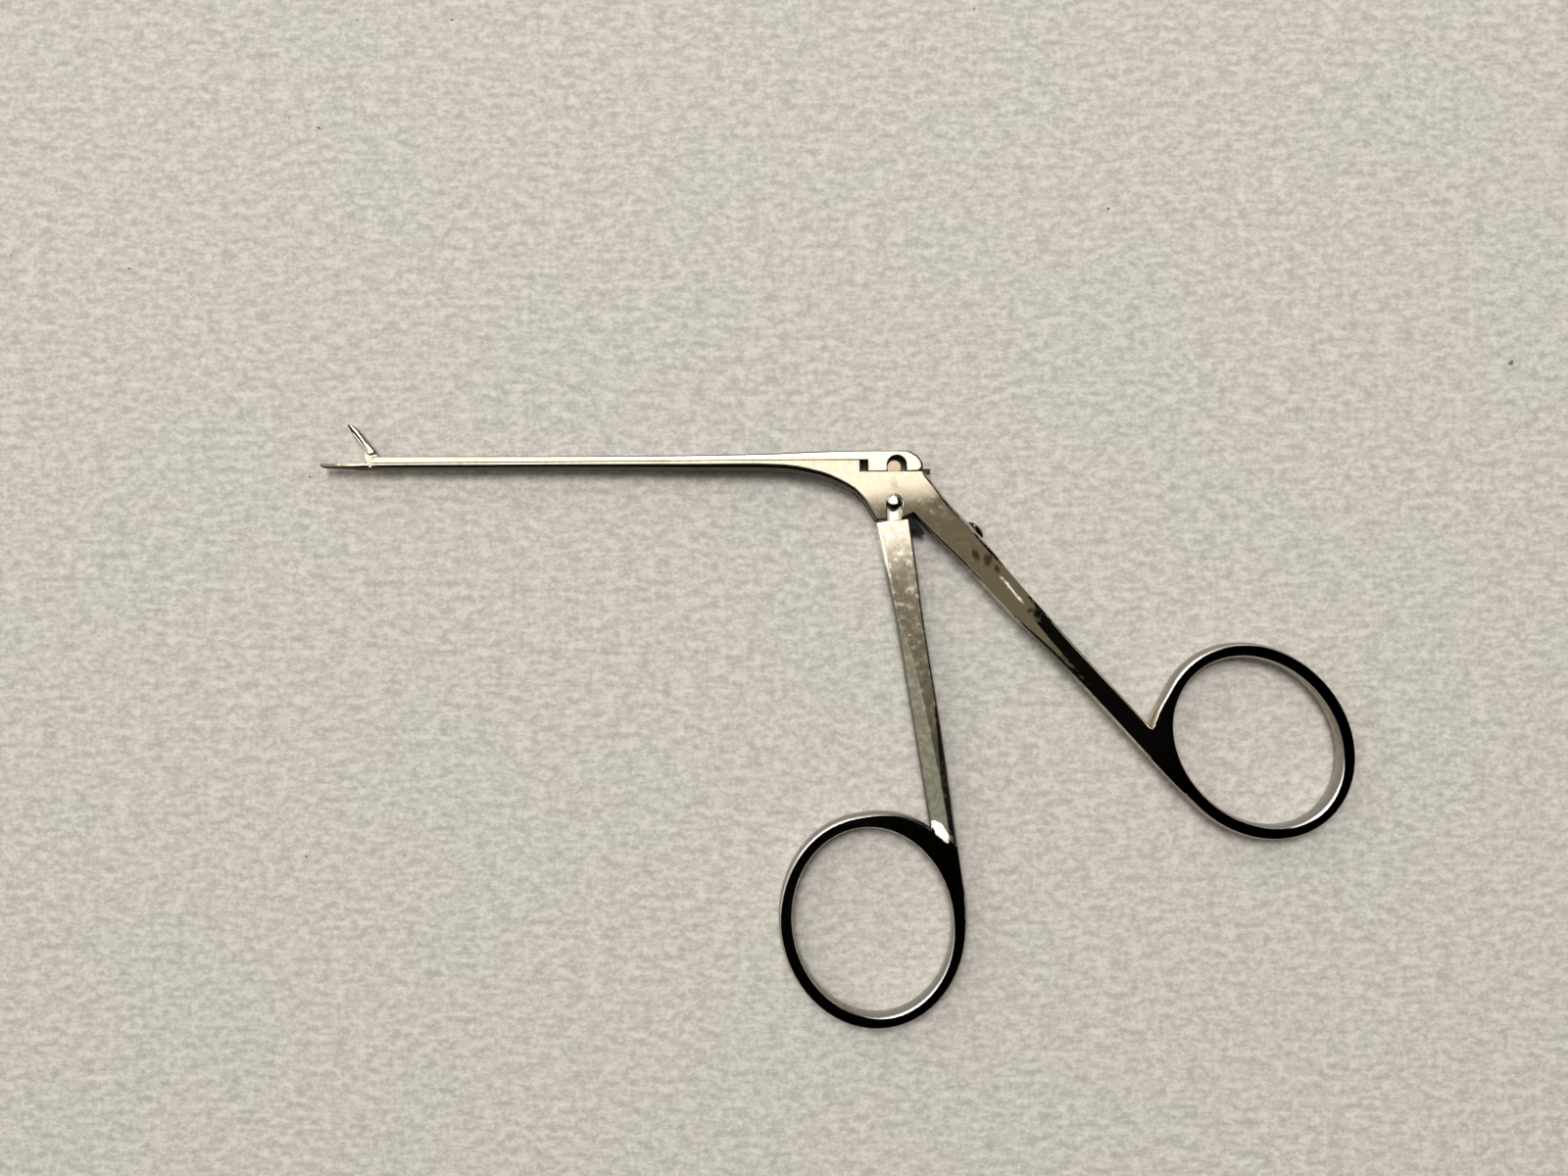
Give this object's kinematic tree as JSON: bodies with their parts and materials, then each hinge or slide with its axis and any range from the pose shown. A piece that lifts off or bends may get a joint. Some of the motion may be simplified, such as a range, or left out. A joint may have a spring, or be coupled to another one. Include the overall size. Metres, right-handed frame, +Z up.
{
  "type": "crimper forceps",
  "caption": "Slender crimper forceps: a lever with a finger ring drives a slide bar that turns a small upper jaw down onto the fixed lower jaw.",
  "frame": {"origin": "under the middle of the bounding box, on the surface that the forceps lies on", "axes": "+X from the jaws towards the thumb ring, +Y towards the side of the slide bar, +Z up from the flat side"},
  "size_m": [0.1461, 0.0858, 0.0043],
  "materials": {
    "satin_steel": "satin stainless steel",
    "polished_steel": "polished stainless steel"
  },
  "bodies": {
    "fixed_half": {"fixed_handle": "satin_steel", "jaw_pivot_pin": "polished_steel", "handle_screw": "polished_steel"},
    "lever_body": {"finger_lever": "polished_steel", "lever_pivot_pin": "polished_steel"},
    "slide_body": {"slide_bar": "satin_steel", "jaw_drive_pin": "polished_steel"},
    "jaw_body": {"upper_jaw": "satin_steel"}
  },
  "joints": [
    {"name": "lever_pivot", "type": "hinge", "parent": "fixed_half", "child": "lever_body", "pos_m": [0.00809, 0.03143, 0.002], "axis": [0, 0, 1], "range_deg": [0, 12.26]},
    {"name": "slide_travel", "type": "slide", "parent": "fixed_half", "child": "slide_body", "axis": [-1, 0, 0], "range_m": [0, 0.00107]},
    {"name": "jaw_pivot", "type": "hinge", "parent": "fixed_half", "child": "jaw_body", "pos_m": [-0.06581, 0.03705, 0.002], "axis": [0, 0, 1], "range_deg": [0, 55.2]}
  ],
  "couplings": [
    {"joint": "slide_travel", "follows": "lever_pivot", "m_per_rad": 0.0049977},
    {"joint": "jaw_pivot", "follows": "lever_pivot", "ratio": 4.4999}
  ]
}
